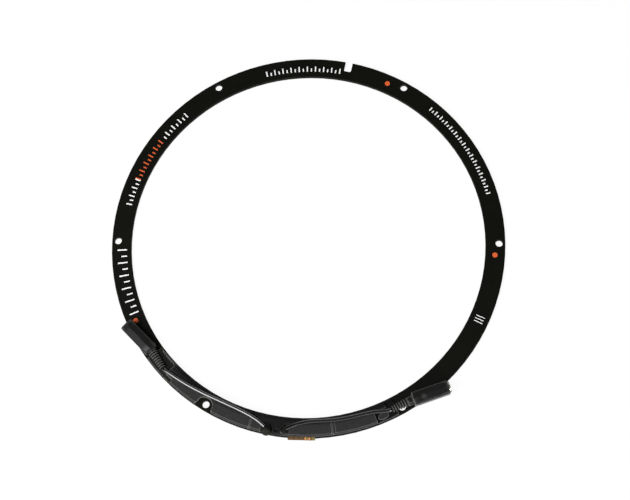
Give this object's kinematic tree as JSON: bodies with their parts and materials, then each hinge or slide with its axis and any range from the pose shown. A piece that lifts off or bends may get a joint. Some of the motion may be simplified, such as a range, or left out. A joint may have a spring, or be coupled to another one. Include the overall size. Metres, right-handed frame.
{
  "type": "telescope dew heater ring",
  "caption": "Flat round heater ring for a telescope's front cell, with a rear heating foil, a moulded arc cover and two short leads that end in moulded jacks.",
  "frame": {"origin": "centre of the ring on the rear face of the plate, which is the face it lies on", "axes": "+Z out of the printed front face along the ring's axis; the screw holes lie at 0, 60, 120, 180, 240 and 300 degrees from +X, with the cover round -Y"},
  "size_m": [0.261, 0.2623, 0.0126],
  "materials": {
    "black_anodised_plate": "satin black anodised",
    "polyimide_foil": "smooth amber film",
    "copper_track": "etched metal under film",
    "circuit_board": "solder mask",
    "sensor_bead": "epoxy bead",
    "cover_plastic": "fine matt texture",
    "gland_rubber": "matt",
    "core_red": "smooth insulation",
    "core_black": "smooth insulation",
    "lead_jacket": "glossy jacket",
    "connector_plastic": "satin moulded",
    "nickel_sleeve": "nickel plated",
    "jack_insulator": "moulded",
    "contact_metal": "plated",
    "screw_steel": "blackened steel"
  },
  "bodies": {
    "root": {"ring_plate": "black_anodised_plate", "heater_foil": "polyimide_foil", "heating_track": "copper_track", "terminal_board": "circuit_board", "thermistor": "sensor_bead", "left_cover": "cover_plastic", "centre_cover": "cover_plastic", "right_cover": "cover_plastic", "left_gland": "gland_rubber", "right_gland": "gland_rubber", "left_lead_core_a": "core_red", "left_lead_core_b": "core_black", "right_lead_core_a": "core_red", "right_lead_core_b": "core_black", "left_lead": "lead_jacket", "right_lead": "lead_jacket", "left_connector_body": "connector_plastic", "left_jack_sleeve": "nickel_sleeve", "left_jack_insulator": "jack_insulator", "left_jack_contact": "contact_metal", "right_connector_body": "connector_plastic", "right_jack_sleeve": "nickel_sleeve", "right_jack_insulator": "jack_insulator", "right_jack_contact": "contact_metal", "cover_screw_1": "screw_steel", "cover_screw_2": "screw_steel", "cover_screw_3": "screw_steel", "cover_screw_4": "screw_steel", "cover_screw_5": "screw_steel", "cover_screw_6": "screw_steel"}
  },
  "joints": []
}
